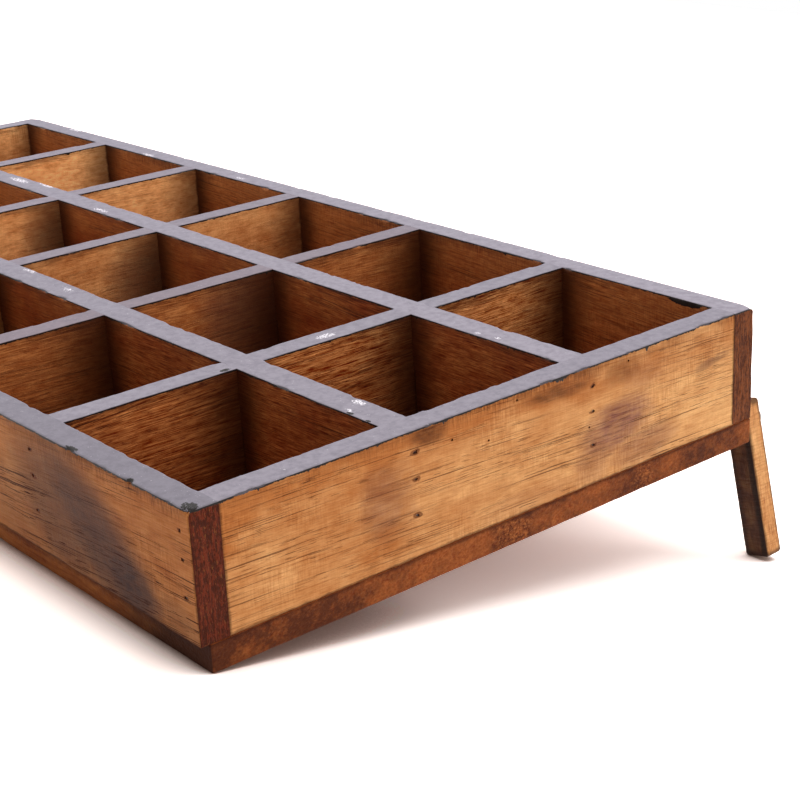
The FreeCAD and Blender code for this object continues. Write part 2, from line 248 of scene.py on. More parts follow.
# Shader maths.

def maths(operation, swapped=False):
    """Operator of a wire that adds one Math node."""
    def method(self, other):
        first, second = (other, self) if swapped else (self, other)
        return self.finish.add("Math", {0: first, 1: second}, operation=operation)
    return method


class Wire:
    """One value in a finish: sums and products of wires add Math nodes, and a | b is the larger of two."""
    __add__, __radd__ = maths("ADD"), maths("ADD", True)
    __sub__, __rsub__ = maths("SUBTRACT"), maths("SUBTRACT", True)
    __mul__, __rmul__ = maths("MULTIPLY"), maths("MULTIPLY", True)
    __or__, __ror__ = maths("MAXIMUM"), maths("MAXIMUM", True)
    __truediv__ = maths("DIVIDE")
    __pow__ = maths("POWER")

    def __init__(self, finish, socket):
        self.finish = finish
        self.socket = socket

    def __abs__(self):
        return self.finish.add("Math", {0: self}, operation="ABSOLUTE")

    def output(self, number):
        """Another output of the same node."""
        return Wire(self.finish, self.socket.node.outputs[number])


class Finish:
    """Node tree being written, of a material or of the room."""

    def __init__(self, owner):
        owner.use_nodes = True
        self.owner = owner
        self.tree = owner.node_tree
        self.tree.nodes.clear()

    def add(self, kind, sockets=None, out=0, **settings):
        """New node: its settings first, then the values or wires of its sockets."""
        node = self.tree.nodes.new(f"ShaderNode{kind}")
        for key, value in settings.items():
            setattr(node, key, value)
        for key, value in (sockets or {}).items():
            if isinstance(value, Wire):
                self.tree.links.new(value.socket, node.inputs[key])
            else:
                node.inputs[key].default_value = value
        return Wire(self, node.outputs[out]) if len(node.outputs) else None

    def attribute(self, name):
        return self.add("Attribute", out=1, attribute_name=name)

    def parts(self, vector):
        split = self.add("SeparateXYZ", {0: vector})
        return split, split.output(1), split.output(2)

    def join(self, along, through, up):
        return self.add("CombineXYZ", {0: along, 1: through, 2: up})

    def ease(self, value, low, high):
        """Soft step from 0 at low to 1 at high."""
        return self.add("MapRange", {"Value": value, "From Min": low, "From Max": high},
                        interpolation_type="SMOOTHSTEP")

    def mix(self, share, first, second, blend="MIX"):
        return self.add("Mix", {0: share, 6: first, 7: second}, 2, data_type="RGBA", blend_type=blend)

    def scale(self, shade, factor):
        """Colour made lighter or darker."""
        return self.add("VectorMath", {0: shade, "Scale": factor}, operation="SCALE")

    def shade_grain(self, shade, grip):
        """Wood made lighter and yellower where grip is above 0, darker and redder where it is below."""
        share = self.join(1 + grip * 0.65, 1 + grip, 1 + grip * 1.3)
        return self.add("VectorMath", {0: shade, 1: share}, operation="MULTIPLY")

    def mottle(self, place, size, seed, detail=2.0, rough=0.5):
        """Noise from 0 to 1 whose patches are as long along u, v and w as size says."""
        shift = (17.3 * seed, 5.1 * seed, 11.7 * seed)
        scaled = self.add("VectorMath", {0: place, 1: tuple(1 / s for s in size), 2: shift},
                          operation="MULTIPLY_ADD")
        return self.add("TexNoise", {"Vector": scaled, "Scale": 1.0, "Detail": detail, "Roughness": rough},
                        noise_dimensions="3D")

    def spot(self, across, up, middle, reach, turn=0.0):
        """Soft oval spot on a face: 1 in its middle, 0 from its rim on."""
        side, rise = across - middle[0], up - middle[1]
        if turn:
            cosine, sine = math.cos(turn), math.sin(turn)
            side, rise = side * cosine + rise * sine, rise * cosine - side * sine
        return self.ease((side / reach[0]) ** 2 + (rise / reach[1]) ** 2, 1.0, 0.0)

    def every(self, place, first, pitch):
        """Distance along a row to the nearest of its evenly spaced places."""
        return self.add("Math", {0: abs(place - first), 1: pitch / 2}, operation="PINGPONG")

    def ahead(self, place, first, pitch):
        """Distance along a row to the next of its evenly spaced places."""
        return pitch - self.add("Math", {0: place - first, 1: pitch}, operation="FLOORED_MODULO")

    def bump(self, height, depth, strength):
        return self.add("Bump", {"Strength": strength, "Distance": depth * MM, "Height": height})

    def glossy(self, base, roughness, normal, others):
        sockets = {"Base Color": base, "Roughness": roughness, "Normal": normal, **others}
        return self.add("BsdfPrincipled", sockets)

    def close(self, shader, kind="OutputMaterial"):
        self.add(kind, {"Surface": shader})
        return self.owner

    def seen(self):
        """1 for what the camera, reflections and glass see directly, 0 for the light that falls on things."""
        path = self.add("LightPath")
        return path | path.output(3) | path.output(6)


@dataclass
class Stain:
    """How one board took its stain: tones go from 0, dark russet, to 1, golden.

    Figure is how much the grain shows outside and inside; coarse roughens it inside, and calm takes that away
    along the board. Drift is the change of tone along the board. The stain-and-shade reach and share are how
    far and how strongly the corners are darkened, by stain gathered there and by painted shade. The light
    gain scales the stain, partly a lighter tone and partly painted light, and the rim's dust-and-sheen scale
    holds dust and painted reflection. A mark gives its middle, its reach and, for most, its turn and
    strength.
    """
    outer: float
    inner: float
    seed: int
    figure: tuple = (0.25, 0.55)
    grain_slope: float = 0.0
    clouds: float = 0.5
    end_tone: float = 0.5
    drift: float = 0.0
    coarse: float = 1.0
    swirl: float = 6.0
    top_shade: float = 0.0
    rim_dust_and_sheen: float = 1.0
    rim_brown: float = 0.0
    lines: float = 1.0
    pool: float = 18.0
    stain_and_shade_share: float = 0.9
    tone_and_light_gain: float = 1.0
    calm: float = 0.0
    varnish: float = 0.35
    smudges: tuple = ()
    smoke_and_shade_marks: tuple = ()
    scorches: tuple = ()
    spills: tuple = ()
    scuffs_and_glints: tuple = ()
    chips: tuple = ()


def stain_shades(dye, tone):
    """Light, middle and dark shade of the stain at one tone."""
    if tone > 0.5:
        share = 2 * tone - 1
        return (between(dye.honey, dye.golden, share), between(dye.russet, dye.honey, 0.5 + 0.5 * share),
                between(dye.umber, dye.russet, 0.4 + 0.5 * share))
    share = 2 * tone
    return (between(dye.russet, dye.honey, share), between(dye.umber, dye.russet, 0.6 + 0.4 * share),
            between(dye.umber, dye.russet, 0.4 * share))


class Wood(Finish):
    """Finish of one board, with the noise fields that its faces share.

    The fields fine, chatter, cloud, blotch and curdle are about 0; the others go from 0 to 1.
    """

    def __init__(self, board, dye, seed, slope=0.0, swirl=6.0):
        super().__init__(bpy.data.materials.new(f"{board.name}_stain"))
        self.board, self.dye, self.seed = board, dye, seed
        self.place = self.attribute("board_place")
        self.along, self.through, self.up = self.parts(self.place)
        self.facing = self.parts(self.attribute("board_facing"))
        bend = self.patches((95, 30, 26), 0, 1.0) - 0.5
        self.lie = self.join(self.along, self.through, self.up + self.along * slope + bend * swirl)
        self.fine = self.grain((9.0, 0.6, 0.30), 1, 3.0, 0.65) - 0.5
        self.streaks = self.ease(self.grain((20, 1.6, 0.8), 2, 4.0, 0.65), 0.47, 0.68)
        gathered = self.ease(self.grain((60, 20, 7), 3, 1.0) - self.up * (0.14 / board.size[2]), 0.30, 0.52)
        self.pores = self.ease(self.grain((9.0, 0.5, 0.30), 4, 1.0), 0.64, 0.67) * gathered
        self.dashes = self.ease(self.grain((60, 0.8, 0.38), 5), 0.61, 0.64) * gathered
        self.flecks = self.ease(self.grain((3.0, 0.5, 0.36), 9, 2.0, 0.6), 0.58, 0.70)
        self.chatter = self.patches((0.6, 3.0, 6.5), 6, 2.0, 0.65) - 0.5
        self.cloud = self.patches((58, 40, 26), 7, 3.0, 0.55) - 0.5
        self.blotch = self.patches((13, 9, 8), 8, 3.0, 0.6) - 0.5
        self.curdle = self.patches((4.2, 3.0, 2.2), 15, 3.0, 0.65) - 0.5

    def patches(self, size, number, *grade):
        """Noise on the board; its number keeps it apart from the others."""
        return self.mottle(self.place, size, self.seed + number, *grade)

    def grain(self, size, number, *grade):
        """Noise that lies along the board's bent grain."""
        return self.mottle(self.lie, size, self.seed + number, *grade)

    def lay(self, share, shade, blend="MIX"):
        """One more layer over the wood so far."""
        self.wood = self.mix(share, self.wood, shade, blend)


def blots(f, marks, spread):
    """Uneven spots on a face: where marks meet, the stronger one shows."""
    smear = f.fine * 5
    along = f.along + f.blotch * spread + smear
    up = f.up + f.cloud * spread * 0.6 + smear
    cover = 0.0
    for middle, reach, turn, strength in marks:
        cover = cover | f.spot(along, up, middle, reach, turn) * strength
    return cover


def brushed_stain(f, stain, inner_side, inside):
    """Stain with its clouds and grain, and smudges, smoky bands and painted corner shade over it."""
    length, _, height = f.board.size
    pairs = zip(stain_shades(f.dye, stain.outer), stain_shades(f.dye, stain.inner))
    # The light gain lifts the stain: partly a lighter tone, partly painted light.
    light, middle, dark = (f.mix(inner_side, dimmed(outer, stain.tone_and_light_gain), dimmed(inner, stain.tone_and_light_gain))
                           for outer, inner in pairs)
    tint = 0.48 + f.cloud * 1.8 + f.blotch * 1.1
    if stain.drift:
        tint = tint - (f.along / length - 0.5) * stain.drift
    if stain.top_shade:
        tint = tint + f.ease(f.up, height * 0.5, height) * stain.top_shade * (1 - inner_side)
    f.wood = f.mix(tint, light, middle)
    show = stain.figure[0] + inner_side * (stain.figure[1] - stain.figure[0])
    raw = inside * (1.0 - f.ease(f.along, 60.0, 240.0) * stain.calm)
    flecked = f.flecks * (0.12 + show * 0.7 + raw * stain.coarse * 0.15)
    f.lay(f.streaks * show | flecked, dark)
    grip = f.fine * (1.0 + raw * (1.5 * stain.coarse - 0.4)) + f.curdle * (0.5 + raw)
    if f.board.outer_face:
        sawn = f.ease(f.patches((34, 20, 20), 16, 1.0), 0.46, 0.62)
        grip = grip + f.chatter * (0.3 + sawn * 0.8)
    f.wood = f.shade_grain(f.wood, grip)

    murk = f.ease(f.cloud + f.blotch * 0.35, 0.14 - 0.12 * stain.clouds, 0.38 - 0.16 * stain.clouds) * 0.6
    if stain.smudges:
        broken = 0.9 + f.curdle * 0.9 + f.streaks * 0.3
        murk = murk | blots(f, stain.smudges, 16) * broken * (1 - inner_side)
    f.lay(murk * (1 - inside * 0.7), f.dye.bruise, "MULTIPLY")
    # Smoky bands, and on the cross dividers painted shade in the corner by the back long divider.
    if stain.smoke_and_shade_marks:
        f.lay(blots(f, stain.smoke_and_shade_marks, 10) * (0.95 + f.curdle * 0.4) * (1 - inner_side), f.dye.smoke_and_shade_colour)


def darkened_edges(f, stain, inside):
    """Stain and painted shade in corners and bottoms, scorched under the rim and dark along the joints."""
    length, _, height = f.board.size
    first, pitch, wall = f.board.cells
    umber = f.dye.umber
    # Painted shade together with gathered stain: strongest before the next wall along, narrower at both
    # walls, and towards the bottom.
    corner = f.every(f.along, first, pitch) - wall / 2
    ahead = f.ahead(f.along, first, pitch) - wall / 2
    stain_and_shade_share = f.ease(ahead + f.blotch * 9, stain.pool, 0.0) * stain.stain_and_shade_share
    stain_and_shade_share = stain_and_shade_share | f.ease(corner + f.blotch * 5, 6.0, 0.0) * 0.5
    stain_and_shade_share = stain_and_shade_share | f.ease(f.up + f.blotch * 14, 22.0, 0.0) * 0.5
    f.lay(stain_and_shade_share * inside, umber)

    from_top = height - f.up
    brushed = (f.chatter if f.board.outer_face else f.fine) * 9
    scorch = f.ease(from_top + f.blotch * 8 + brushed, 5.0, 0.0)
    scorch = scorch * (0.15 + f.ease(f.cloud + f.blotch * 0.5, -0.08, 0.12) * 0.45)
    if stain.scorches:
        scorch = scorch | blots(f, stain.scorches, 9) * (0.9 + f.curdle * 1.6)
    f.lay(scorch, umber)
    torn_edge = f.ease(from_top, 14.0, 2.0) * inside
    open_grain = f.dashes * (0.62 + torn_edge * 0.35) | f.pores * 0.6
    f.lay(open_grain * stain.lines, umber)
    ragged = f.blotch * 1.5 + f.curdle * 1.2
    joints = f.ease(f.up + ragged, 1.1, 0.2) | f.ease(f.every(f.along, 0, length) + ragged, 0.9, 0.0)
    f.lay(joints * 0.65, umber)


def cut_ends(f, stain, ends):
    """Cut ends drink more stain: upright fibres, a few pale specks and darker edges."""
    honey, umber = f.dye.honey, f.dye.umber
    fibres = f.ease(f.patches((4, 0.6, 6.0), 17, 3.0, 0.65), 0.40, 0.60)
    specks = f.ease(f.patches((4, 0.5, 1.4), 10, 2.0), 0.60, 0.70)
    pits = f.patches((4, 0.9, 2.0), 18, 4.0, 0.75) - 0.5
    light = between(f.dye.end_grain, honey, 0.4 * stain.end_tone)
    tint = 0.3 + fibres * 0.6 + pits * (8.0 - 4.0 * stain.end_tone) + f.blotch * 1.6
    end_wood = f.mix(tint, light, between(umber, light, 0.1))
    end_wood = f.mix(specks * (0.25 - 0.15 * stain.end_tone), end_wood, honey)
    end_wood = f.shade_grain(end_wood, pits * 2.4)
    border = f.ease(f.every(f.through, 0, f.board.size[1]) + f.curdle * 2, 1.3, 0.1)
    end_wood = f.mix(border * 0.6, end_wood, umber)
    f.lay(ends, end_wood)
    return fibres


def rim_paint(f, stain, inner_side):
    """Black paint on the upper edge, rolled a little way over the sides: where it is, and its shader."""
    dye = f.dye
    from_top = f.board.size[2] - f.up
    drip = f.patches((4.5, 30, 30), 11, 3.0, 0.65)
    crumb = f.patches((1.4, 1.1, 1.1), 14, 4.0, 0.75) - 0.5
    roll = 0.25 + drip * 0.8 + f.ease(drip, 0.62, 0.75) + crumb * 1.2
    painted = f.ease(from_top - roll, 0.08, -0.08)
    for middle, reach in stain.spills:
        spill = f.spot(f.along, f.up, middle, reach) + crumb * 1.2
        painted = painted | f.ease(spill, 0.30, 0.38) * inner_side

    film = f.patches((3.0, 3.0, 3.0), 12, 4.0, 0.7) - 0.5
    flake = f.patches((0.9, 0.7, 0.7), 19, 3.0, 0.7)
    # Pale wear flecks and scuffs; at the front board's near corner the pale spots are painted glints.
    wear_and_glints = f.ease(f.patches((0.7, 0.7, 0.7), 13, 1.0), 0.73, 0.76) * 0.4
    for middle, reach, share in stain.scuffs_and_glints:
        wear_and_glints = wear_and_glints | f.ease(f.spot(f.along, f.through, middle, reach) * share + flake, 0.76, 0.82)
    # The rim paint is scaled per board for its dust and for painted reflection, then lightened at the board's
    # start and darkened along it: painted reflection.
    rim = dimmed(between(dye.rim, dye.russet, stain.rim_brown), stain.rim_dust_and_sheen)
    paint = f.mix(f.ease(film, -0.15, 0.2), rim, between(rim, dye.rim_edge, 0.45))
    paint = f.scale(paint, 1.35 - f.along * (0.9 / TRAY_LENGTH))
    paint = f.mix(wear_and_glints, paint, dye.scuff_and_glint)
    upward = f.ease(f.facing[2], 0.6, 0.9) | f.ease(from_top, 0.22, 0.14)
    for middle, reach in stain.chips:
        chip = f.ease(f.spot(f.along, f.through, middle, reach) * 0.5 + flake, 0.80, 0.86)
        upward = upward * (1 - chip * (1 - wear_and_glints))
    normal = f.bump(film * 0.7 + crumb * 0.3, 0.14, 0.3)
    top = f.glossy(paint, dye.sheen + film * 0.3 + wear_and_glints * 0.4, normal, {
        "Specular IOR Level": 0.65, "Sheen Weight": 0.5, "Sheen Roughness": 0.5, "Sheen Tint": dye.bloom})
    side = f.glossy(dye.rim_edge, 0.42 + film * 0.3, normal, {"Specular IOR Level": 0.2})
    return painted, f.add("MixShader", {0: upward, 1: side, 2: top})


def stained_wood(board, dye, stain):
    """Brushed stain on open-grained wood, with black paint rolled over the upper edge."""
    f = Wood(board, dye, stain.seed, stain.grain_slope, stain.swirl)
    half = board.size[1] / 2
    inner_side = f.ease(f.through, half - 0.2, half + 0.2)
    inside = inner_side if board.outer_face else 1.0
    brushed_stain(f, stain, inner_side, inside)
    darkened_edges(f, stain, inside)
    ends = f.ease(abs(f.facing[0]), 0.55, 0.8)
    fibres = cut_ends(f, stain, ends)

    if board.outer_face:
        # Brads leave dark torn spots along the grain.
        first, pitch, _ = board.cells
        aside = f.every(f.along, first, pitch)
        ragged = (f.blotch + f.curdle) * 4
        for level in BRAD_LEVELS:
            torn = f.ease((aside / 1.7) ** 2 + ((f.up - level) / 0.9) ** 2 + ragged, 1.0, 0.2)
            f.lay(torn * (1 - inner_side) * 0.7, between(dye.umber, dye.russet, 0.3))

    depth = (f.pores | f.dashes) * -0.6 - f.streaks * 0.3 + f.fine * 0.6
    depth = depth + (f.chatter + f.curdle) * 0.4 - ends * fibres * 1.2
    rough = 0.52 + f.streaks * 0.1 + (f.pores + f.blotch) * 0.15
    varnish = (1 - ends) * inside * stain.varnish
    wood_shader = f.glossy(f.wood, rough, f.bump(depth, 0.3, 0.8), {
        "Specular IOR Level": 0.07, "Coat Weight": varnish, "Coat Roughness": 0.45})
    painted, paint_shader = rim_paint(f, stain, inner_side)
    return f.close(f.add("MixShader", {0: painted, 1: wood_shader, 2: paint_shader}))


def panel_wood(board, dye, seed):
    """Coarse panel: stained faces, and sawn edges with smooth, pored and torn stretches and painted shade."""
    f = Wood(board, dye, seed)
    height = board.size[2]
    umber, russet, honey, plain = dye.umber, dye.russet, dye.honey, dye.panel_edge
    deep = between(umber, russet, 0.6)
    face = f.mix(0.4 + f.cloud * 2.0 + f.curdle, between(russet, honey, 0.25), deep)
    face = f.mix(f.streaks * 0.5 | f.dashes * 0.7, face, umber)
    face = f.shade_grain(face, f.fine * 1.6)

    edge = f.ease(abs(f.facing[2]), 0.8, 0.55)
    drift = f.patches((34, 34, 60), 20, 1.0) - 0.5
    sawn = f.patches((2.2, 2.2, 1.4), 21, 3.0, 0.65) - 0.5
    grit = f.patches((0.8, 0.8, 0.6), 22, 2.0, 0.6) - 0.5
    near_left = f.ease(f.through, 75.0, 20.0) * 0.35
    tint = 0.42 + near_left + drift * 2.2 + f.blotch * 1.8 + f.curdle * 1.6 + sawn * 1.2
    rind = f.mix(tint, plain, between(umber, plain, 0.15))
    rind = f.mix(f.spot(f.through + f.blotch * 8, f.up, (92, 4.6), (13, 14)) * 0.7, rind, plain)
    rind = f.shade_grain(rind, sawn * 1.7 + grit * 1.8)
    for middle, reach in ((113, 11), (172, 6)):
        torn = f.spot(f.through + f.blotch * 6, f.up + sawn * 4, (middle, 4.6), (reach, 7.0))
        rind = f.mix(torn * f.ease(grit, 0.05, 0.16) * 0.5, rind, honey)
        rind = f.mix(torn * f.ease(grit, -0.04, -0.14) * 0.7, rind, umber)
    smooth = f.mix(0.15 + drift * 1.6 + f.curdle + f.streaks * 0.5, between(plain, honey, 0.6), deep)
    # Painted shadow of the front board's overhang: darker towards the top of the front edge.
    above = f.ease(f.up + f.blotch * 3 + f.curdle * 2, height * 0.35, height * 0.8)
    smooth = f.mix(above * 0.7, smooth, umber)
    # Painted shade on the front edge, darker towards the near corner where the tray rests on the floor.
    near = f.ease(f.along + f.blotch * 30, 62.0, 20.0)
    smooth = f.mix(near * 0.92, smooth, between(umber, dye.rim_edge, 0.4))
    smooth = f.shade_grain(smooth, f.fine * 0.8)
    rind = f.mix(f.ease(f.facing[1], -0.5, -0.8), rind, smooth)
    f.wood = f.mix(edge, face, rind)
    # Painted shadow: a dark band along the top of the sawn edges, under the boards.
    f.lay(edge * f.ease(f.up + f.blotch * 2, height - 1.6, height - 0.2) * 0.75, umber)
    depth = edge * (sawn * 0.9 + grit * 0.7) + (1 - edge) * f.fine
    return f.close(f.glossy(f.wood, 0.62 + sawn * 0.2, f.bump(depth, 0.5, 0.8), {"Specular IOR Level": 0.1}))


def leg_wood(board, dye, seed):
    """Leg bar: tan sawn faces, a dark face towards the tray with stain and painted shade, and blackened
    corners.
    """
    f = Wood(board, dye, seed)
    length, thick, width = board.size
    light, middle, dark = stain_shades(dye, 1.0)
    brownish, black, blackest = (between(dye.umber, dye.rim_edge, share) for share in (0.5, 0.6, 0.8))
    saw = f.ease(f.patches((0.7, 6, 6), 20, 2.0, 0.6), 0.42, 0.62)
    f.wood = f.mix(0.45 + f.cloud * 1.6 + f.blotch * 1.2 + f.curdle, light, middle)
    f.lay(saw * 0.25 | f.pores * 0.6, dark)
    # The face towards the tray is darkened: partly stain, partly painted shade from the tray over it.
    stained_and_shaded_face = f.ease(f.facing[1], -0.35, -0.75)
    f.lay(stained_and_shaded_face * (0.9 + f.blotch), f.mix(f.streaks * 0.5, dye.leg_stain_and_shade, brownish))
    f.wood = f.shade_grain(f.wood, f.fine * 1.2 + f.curdle * 0.8)
    by_thick = f.ease(f.every(f.through, 0, thick) + f.blotch * 3 + f.curdle, 1.6, 0.2)
    by_width = f.ease(f.every(f.up, 0, width) + f.blotch * 2 + f.curdle, 3.0, 1.0)
    f.lay(by_thick * by_width * 0.7, black)
    outer_band = f.ease(f.up + f.blotch * 2 + f.curdle * 1.5, 3.6, 1.4) * stained_and_shaded_face
    f.lay(by_thick * 0.3 | outer_band * 0.85, blackest)
    tips = f.ease(f.every(f.along, 0, length) + f.blotch * 5, 2.8, 0.5)
    f.lay(tips * 0.8, black)
    depth = f.fine * 0.6 - saw * 0.35 - f.pores * 0.5
    rough = 0.58 + (saw - 0.5) * 0.12 + f.blotch * 0.1
    return f.close(f.glossy(f.wood, rough, f.bump(depth, 0.3, 0.7), {"Specular IOR Level": 0.12}))


def metal(name, shade, grime, rust_share):
    """Dull metal with grime in its hollows and fine scratches."""
    f = Finish(bpy.data.materials.new(name))
    place = f.scale(f.add("TexCoord", out=3), 1 / MM)
    stains = f.mottle(place, (1.3, 1.3, 1.3), 3.0, 4.0, 0.7)
    scratch = f.mottle(place, (2.5, 0.09, 0.15), 5.0) - 0.5
    dirty = f.ease(stains, 0.62 - rust_share * 0.4, 0.78 - rust_share * 0.3)
    rough = 0.34 + dirty * 0.4 + scratch * 0.3
    normal = f.bump(stains * 0.5 + scratch * 0.5, 0.06, 0.4)
    return f.close(f.glossy(f.mix(dirty, shade, grime), rough, normal, {"Metallic": 1 - dirty * 0.7}))


# Boards in mesh.

@dataclass(eq=False)
class Board:
    """One board: size along u, v and w, where its low outer corner is, and how it is cut.

    Cells gives the compartments along it: the first wall's middle, the pitch and the walls' thickness.
    """
    name: str
    size: tuple
    corner: tuple
    along: tuple
    through: tuple
    up: tuple = (0, 0, 1)
    bores: tuple = ()
    notches: tuple = ()
    nicks: tuple = ()
    rounds: tuple = ()
    covered: tuple = ()
    cells: tuple = ()
    outer_face: bool = True
    rim: bool = True
    butted: bool = False
    mesh_step: float = 1.5
    wobble_share: float = 1.3
    ease_share: float = 1.0
    frame: Matrix = None

    def matrix(self):
        """From the board's own directions, in millimetres, to the frame's in metres."""
        columns = Matrix((self.along, self.through, self.up)).transposed().to_4x4()
        return (self.frame or STAND) @ Matrix.Scale(MM, 4) @ Matrix.Translation(self.corner) @ columns


class Wander:
    """Smooth random line; the same seed gives the same line, between about -1 and 1."""

    def __init__(self, seed, longest, shortest, waves=8):
        draw = np.random.default_rng(seed)
        lengths = np.geomspace(longest, shortest, waves) * draw.uniform(0.8, 1.25, waves)
        self.turns = 2 * np.pi / lengths
        self.starts = draw.uniform(0, 2 * np.pi, waves)
        self.sizes = np.sqrt(lengths / longest)
        self.sizes /= self.sizes.sum() * 0.6

    def __call__(self, along):
        return np.clip(np.sin(np.multiply.outer(along, self.turns) + self.starts) @ self.sizes, -1, 1)


def mesh_lines(length, step, ease):
    """Places of the mesh lines along one side of a board, close together at its edges."""
    edge = EDGE_LINES * ease
    count = max(2, int(round((length - 2 * edge[-1]) / step)) + 1)
    inside = np.linspace(edge[-1], length - edge[-1], count)
    return np.concatenate([edge[:-1], inside, length - edge[:-1][::-1]])


def box_skin(lines):
    """Points and faces of a closed box that is cut along the given lines."""
    counts = [len(line) for line in lines]
    shell = np.zeros(counts, bool)
    shell[[0, -1], :, :] = shell[:, [0, -1], :] = shell[:, :, [0, -1]] = True
    numbers = np.full(counts, -1)
    numbers[shell] = np.arange(shell.sum())
    spots = np.argwhere(shell)
    points = np.stack([lines[axis][spots[:, axis]] for axis in range(3)], axis=1)
    faces = []
    for axis in range(3):
        for side in (0, -1):
            sheet = np.take(numbers, side, axis)
            quads = np.stack([sheet[:-1, :-1], sheet[1:, :-1], sheet[1:, 1:], sheet[:-1, 1:]], -1)
            quads = quads.reshape(-1, 4)
            inward = (side == 0) != (axis == 1)
            faces.append(quads[:, ::-1] if inward else quads)
    return points, np.concatenate(faces)


def rub_edge(points, first, second, reach, cut):
    """Round one edge to a radius, reach, that changes along it, and cut off its nicks."""
    near_first = np.abs(points[:, first[0]] - first[1])
    near_second = np.abs(points[:, second[0]] - second[1])
    hit = (near_first < reach) & (near_second < reach)
    off_first, off_second = reach - near_first, reach - near_second
    pull = np.maximum(off_first, off_second) / np.maximum(np.hypot(off_first, off_second), 1e-6)
    near_first = np.where(hit, reach - off_first * pull, near_first)
    near_second = np.where(hit, reach - off_second * pull, near_second)
    short = np.maximum(cut - near_first - near_second, 0.0) / 2
    points[:, first[0]] = np.abs(first[1] - near_first - short)
    points[:, second[0]] = np.abs(second[1] - near_second - short)


def edge_radius(board, edge, along, ease, line):
    """Radius of an edge at places along it: rubbed unevenly, rounder at rounds, sharp where it is covered."""
    if board.butted and edge[0] != 0:
        return np.full_like(along, COVERED_EASE)
    inner_edge = board.rim and not (board.outer_face and edge == TOP_OUTER)
    reach = ease * ((0.6 if inner_edge else 1.2) + np.abs(line(along)) * (1.0 if inner_edge else 0.4))
    for where, middle, half, size in board.rounds:
        if where == edge:
            swell = np.clip(1 - np.abs(along - middle) / half, 0, 1)
            reach = np.maximum(reach, size * swell * swell * (3 - 2 * swell))
    for where, start, end in board.covered:
        if where == edge:
            reach = np.where((along > start) & (along < end), COVERED_EASE, reach)
    return reach


def nick_depth(board, edge, along, line):
    """How much the nicks take off an edge at places along it."""
    cut = np.zeros_like(along)
    for where, middle, half, depth in board.nicks:
        if where == edge:
            bowl = np.sqrt(np.clip(1 - ((along - middle) / half) ** 2, 0, 1))
            cut = np.maximum(cut, 2 * depth * bowl * (0.85 + 0.35 * line(along * 2.3)))
    return cut


def stray_nicks(board, nick, seed):
    """Small nicks all along the upper edges, except where another board meets them."""
    draw = np.random.default_rng(seed)
    nicks = []
    for edge in (TOP_OUTER, TOP_INNER):
        joints = [(start, end) for where, start, end in board.covered if where == edge]
        for _ in range(int(board.size[0] / NICK_PITCH)):
            middle, half = draw.uniform(0, board.size[0]), draw.uniform(1.2, 5.0)
            depth = nick * draw.uniform(0.2, 0.6)
            if all(middle + half < start or middle - half > end for start, end in joints):
                nicks.append((edge, middle, half, depth))
    return nicks


def hand_work(board, points, shape, seed):
    """Turn the sharp box into a planed and rubbed board: faces wander inwards, edges are eased and nicked."""
    length, thick, height = board.size
    u, v, w = points.T.copy()
    wobble = shape.wobble / MM * board.wobble_share
    outer, inner, top = (Wander(seed + n, 90, 9) for n in range(3))
    lean = 0.6 + 0.4 * Wander(seed + 3, 90, 20)(w * 3)
    share = v / thick
    from_outer, from_inner = (0.5 + 0.5 * face(u) * lean for face in (outer, inner))
    points[:, 1] += wobble * (from_outer * (1 - share) - from_inner * share)
    points[:, 2] -= wobble * 0.06 * (0.5 + 0.5 * top(u + v * 1.5)) * (w / height)
    ease = shape.ease / MM * board.ease_share
    sides = [(0.0, size) for size in board.size]
    number = EDGE_DRAWS
    for run in range(3):
        first_axis, second_axis = [axis for axis in range(3) if axis != run]
        for first in sides[first_axis]:
            for second in sides[second_axis]:
                number += 1
                line = Wander(seed + number, 40, 1.8, 12)
                edge = (run, bool(first), bool(second))
                reach = edge_radius(board, edge, points[:, run], ease, line)
                cut = nick_depth(board, edge, points[:, run], line)
                rub_edge(points, (first_axis, first), (second_axis, second), reach, cut)
    if board.butted:
        points[:, 0] += np.where(u == length, JOINT_FILL, 0.0) - np.where(u == 0, JOINT_FILL, 0.0)
    return points


def cutting_tool(board, mouth, seed):
    """Closed mesh of everything that is drilled or sawn out of a board; a torn hole is a ragged slit."""
    draw = np.random.default_rng(seed)
    turns = (Matrix.Rotation(math.radians(90), 4, "Y"), Matrix.Rotation(math.radians(-90), 4, "X"),
             Matrix.Identity(4))
    tool = bmesh.new()
    for start, axis, reach, radius, torn in board.bores:
        lie = Matrix.Identity(4)
        if torn:
            stretch = (mouth * draw.uniform(0.65, 1.25) / radius, 1.0, draw.uniform(0.5, 0.85), 1.0)
            lie = Matrix.Rotation(draw.uniform(-0.35, 0.35), 4, "Y") @ Matrix.Diagonal(stretch)
        middle = Vector(start)
        middle[axis] += reach / 2
        made = bmesh.ops.create_cone(tool, cap_ends=True, segments=HOLE_SIDES, radius1=radius, radius2=radius,
                                     depth=abs(reach), matrix=Matrix.Translation(middle) @ lie @ turns[axis])
        if torn:
            for number in range(len(made["verts"]) // 2):
                rag = draw.uniform(0.65, 1.2)
                for corner in made["verts"][2 * number:2 * number + 2]:
                    corner.co.x = middle.x + (corner.co.x - middle.x) * rag
                    corner.co.z = middle.z + (corner.co.z - middle.z) * rag
    for low, high in board.notches:
        low, high = Vector(low), Vector(high)
        bmesh.ops.create_cube(tool, size=1.0, matrix=Matrix.Translation((low + high) / 2)
                              @ Matrix.Diagonal((*(high - low), 1.0)))
    mesh = bpy.data.meshes.new("cutting_tool")
    tool.to_mesh(mesh)
    tool.free()
    return mesh


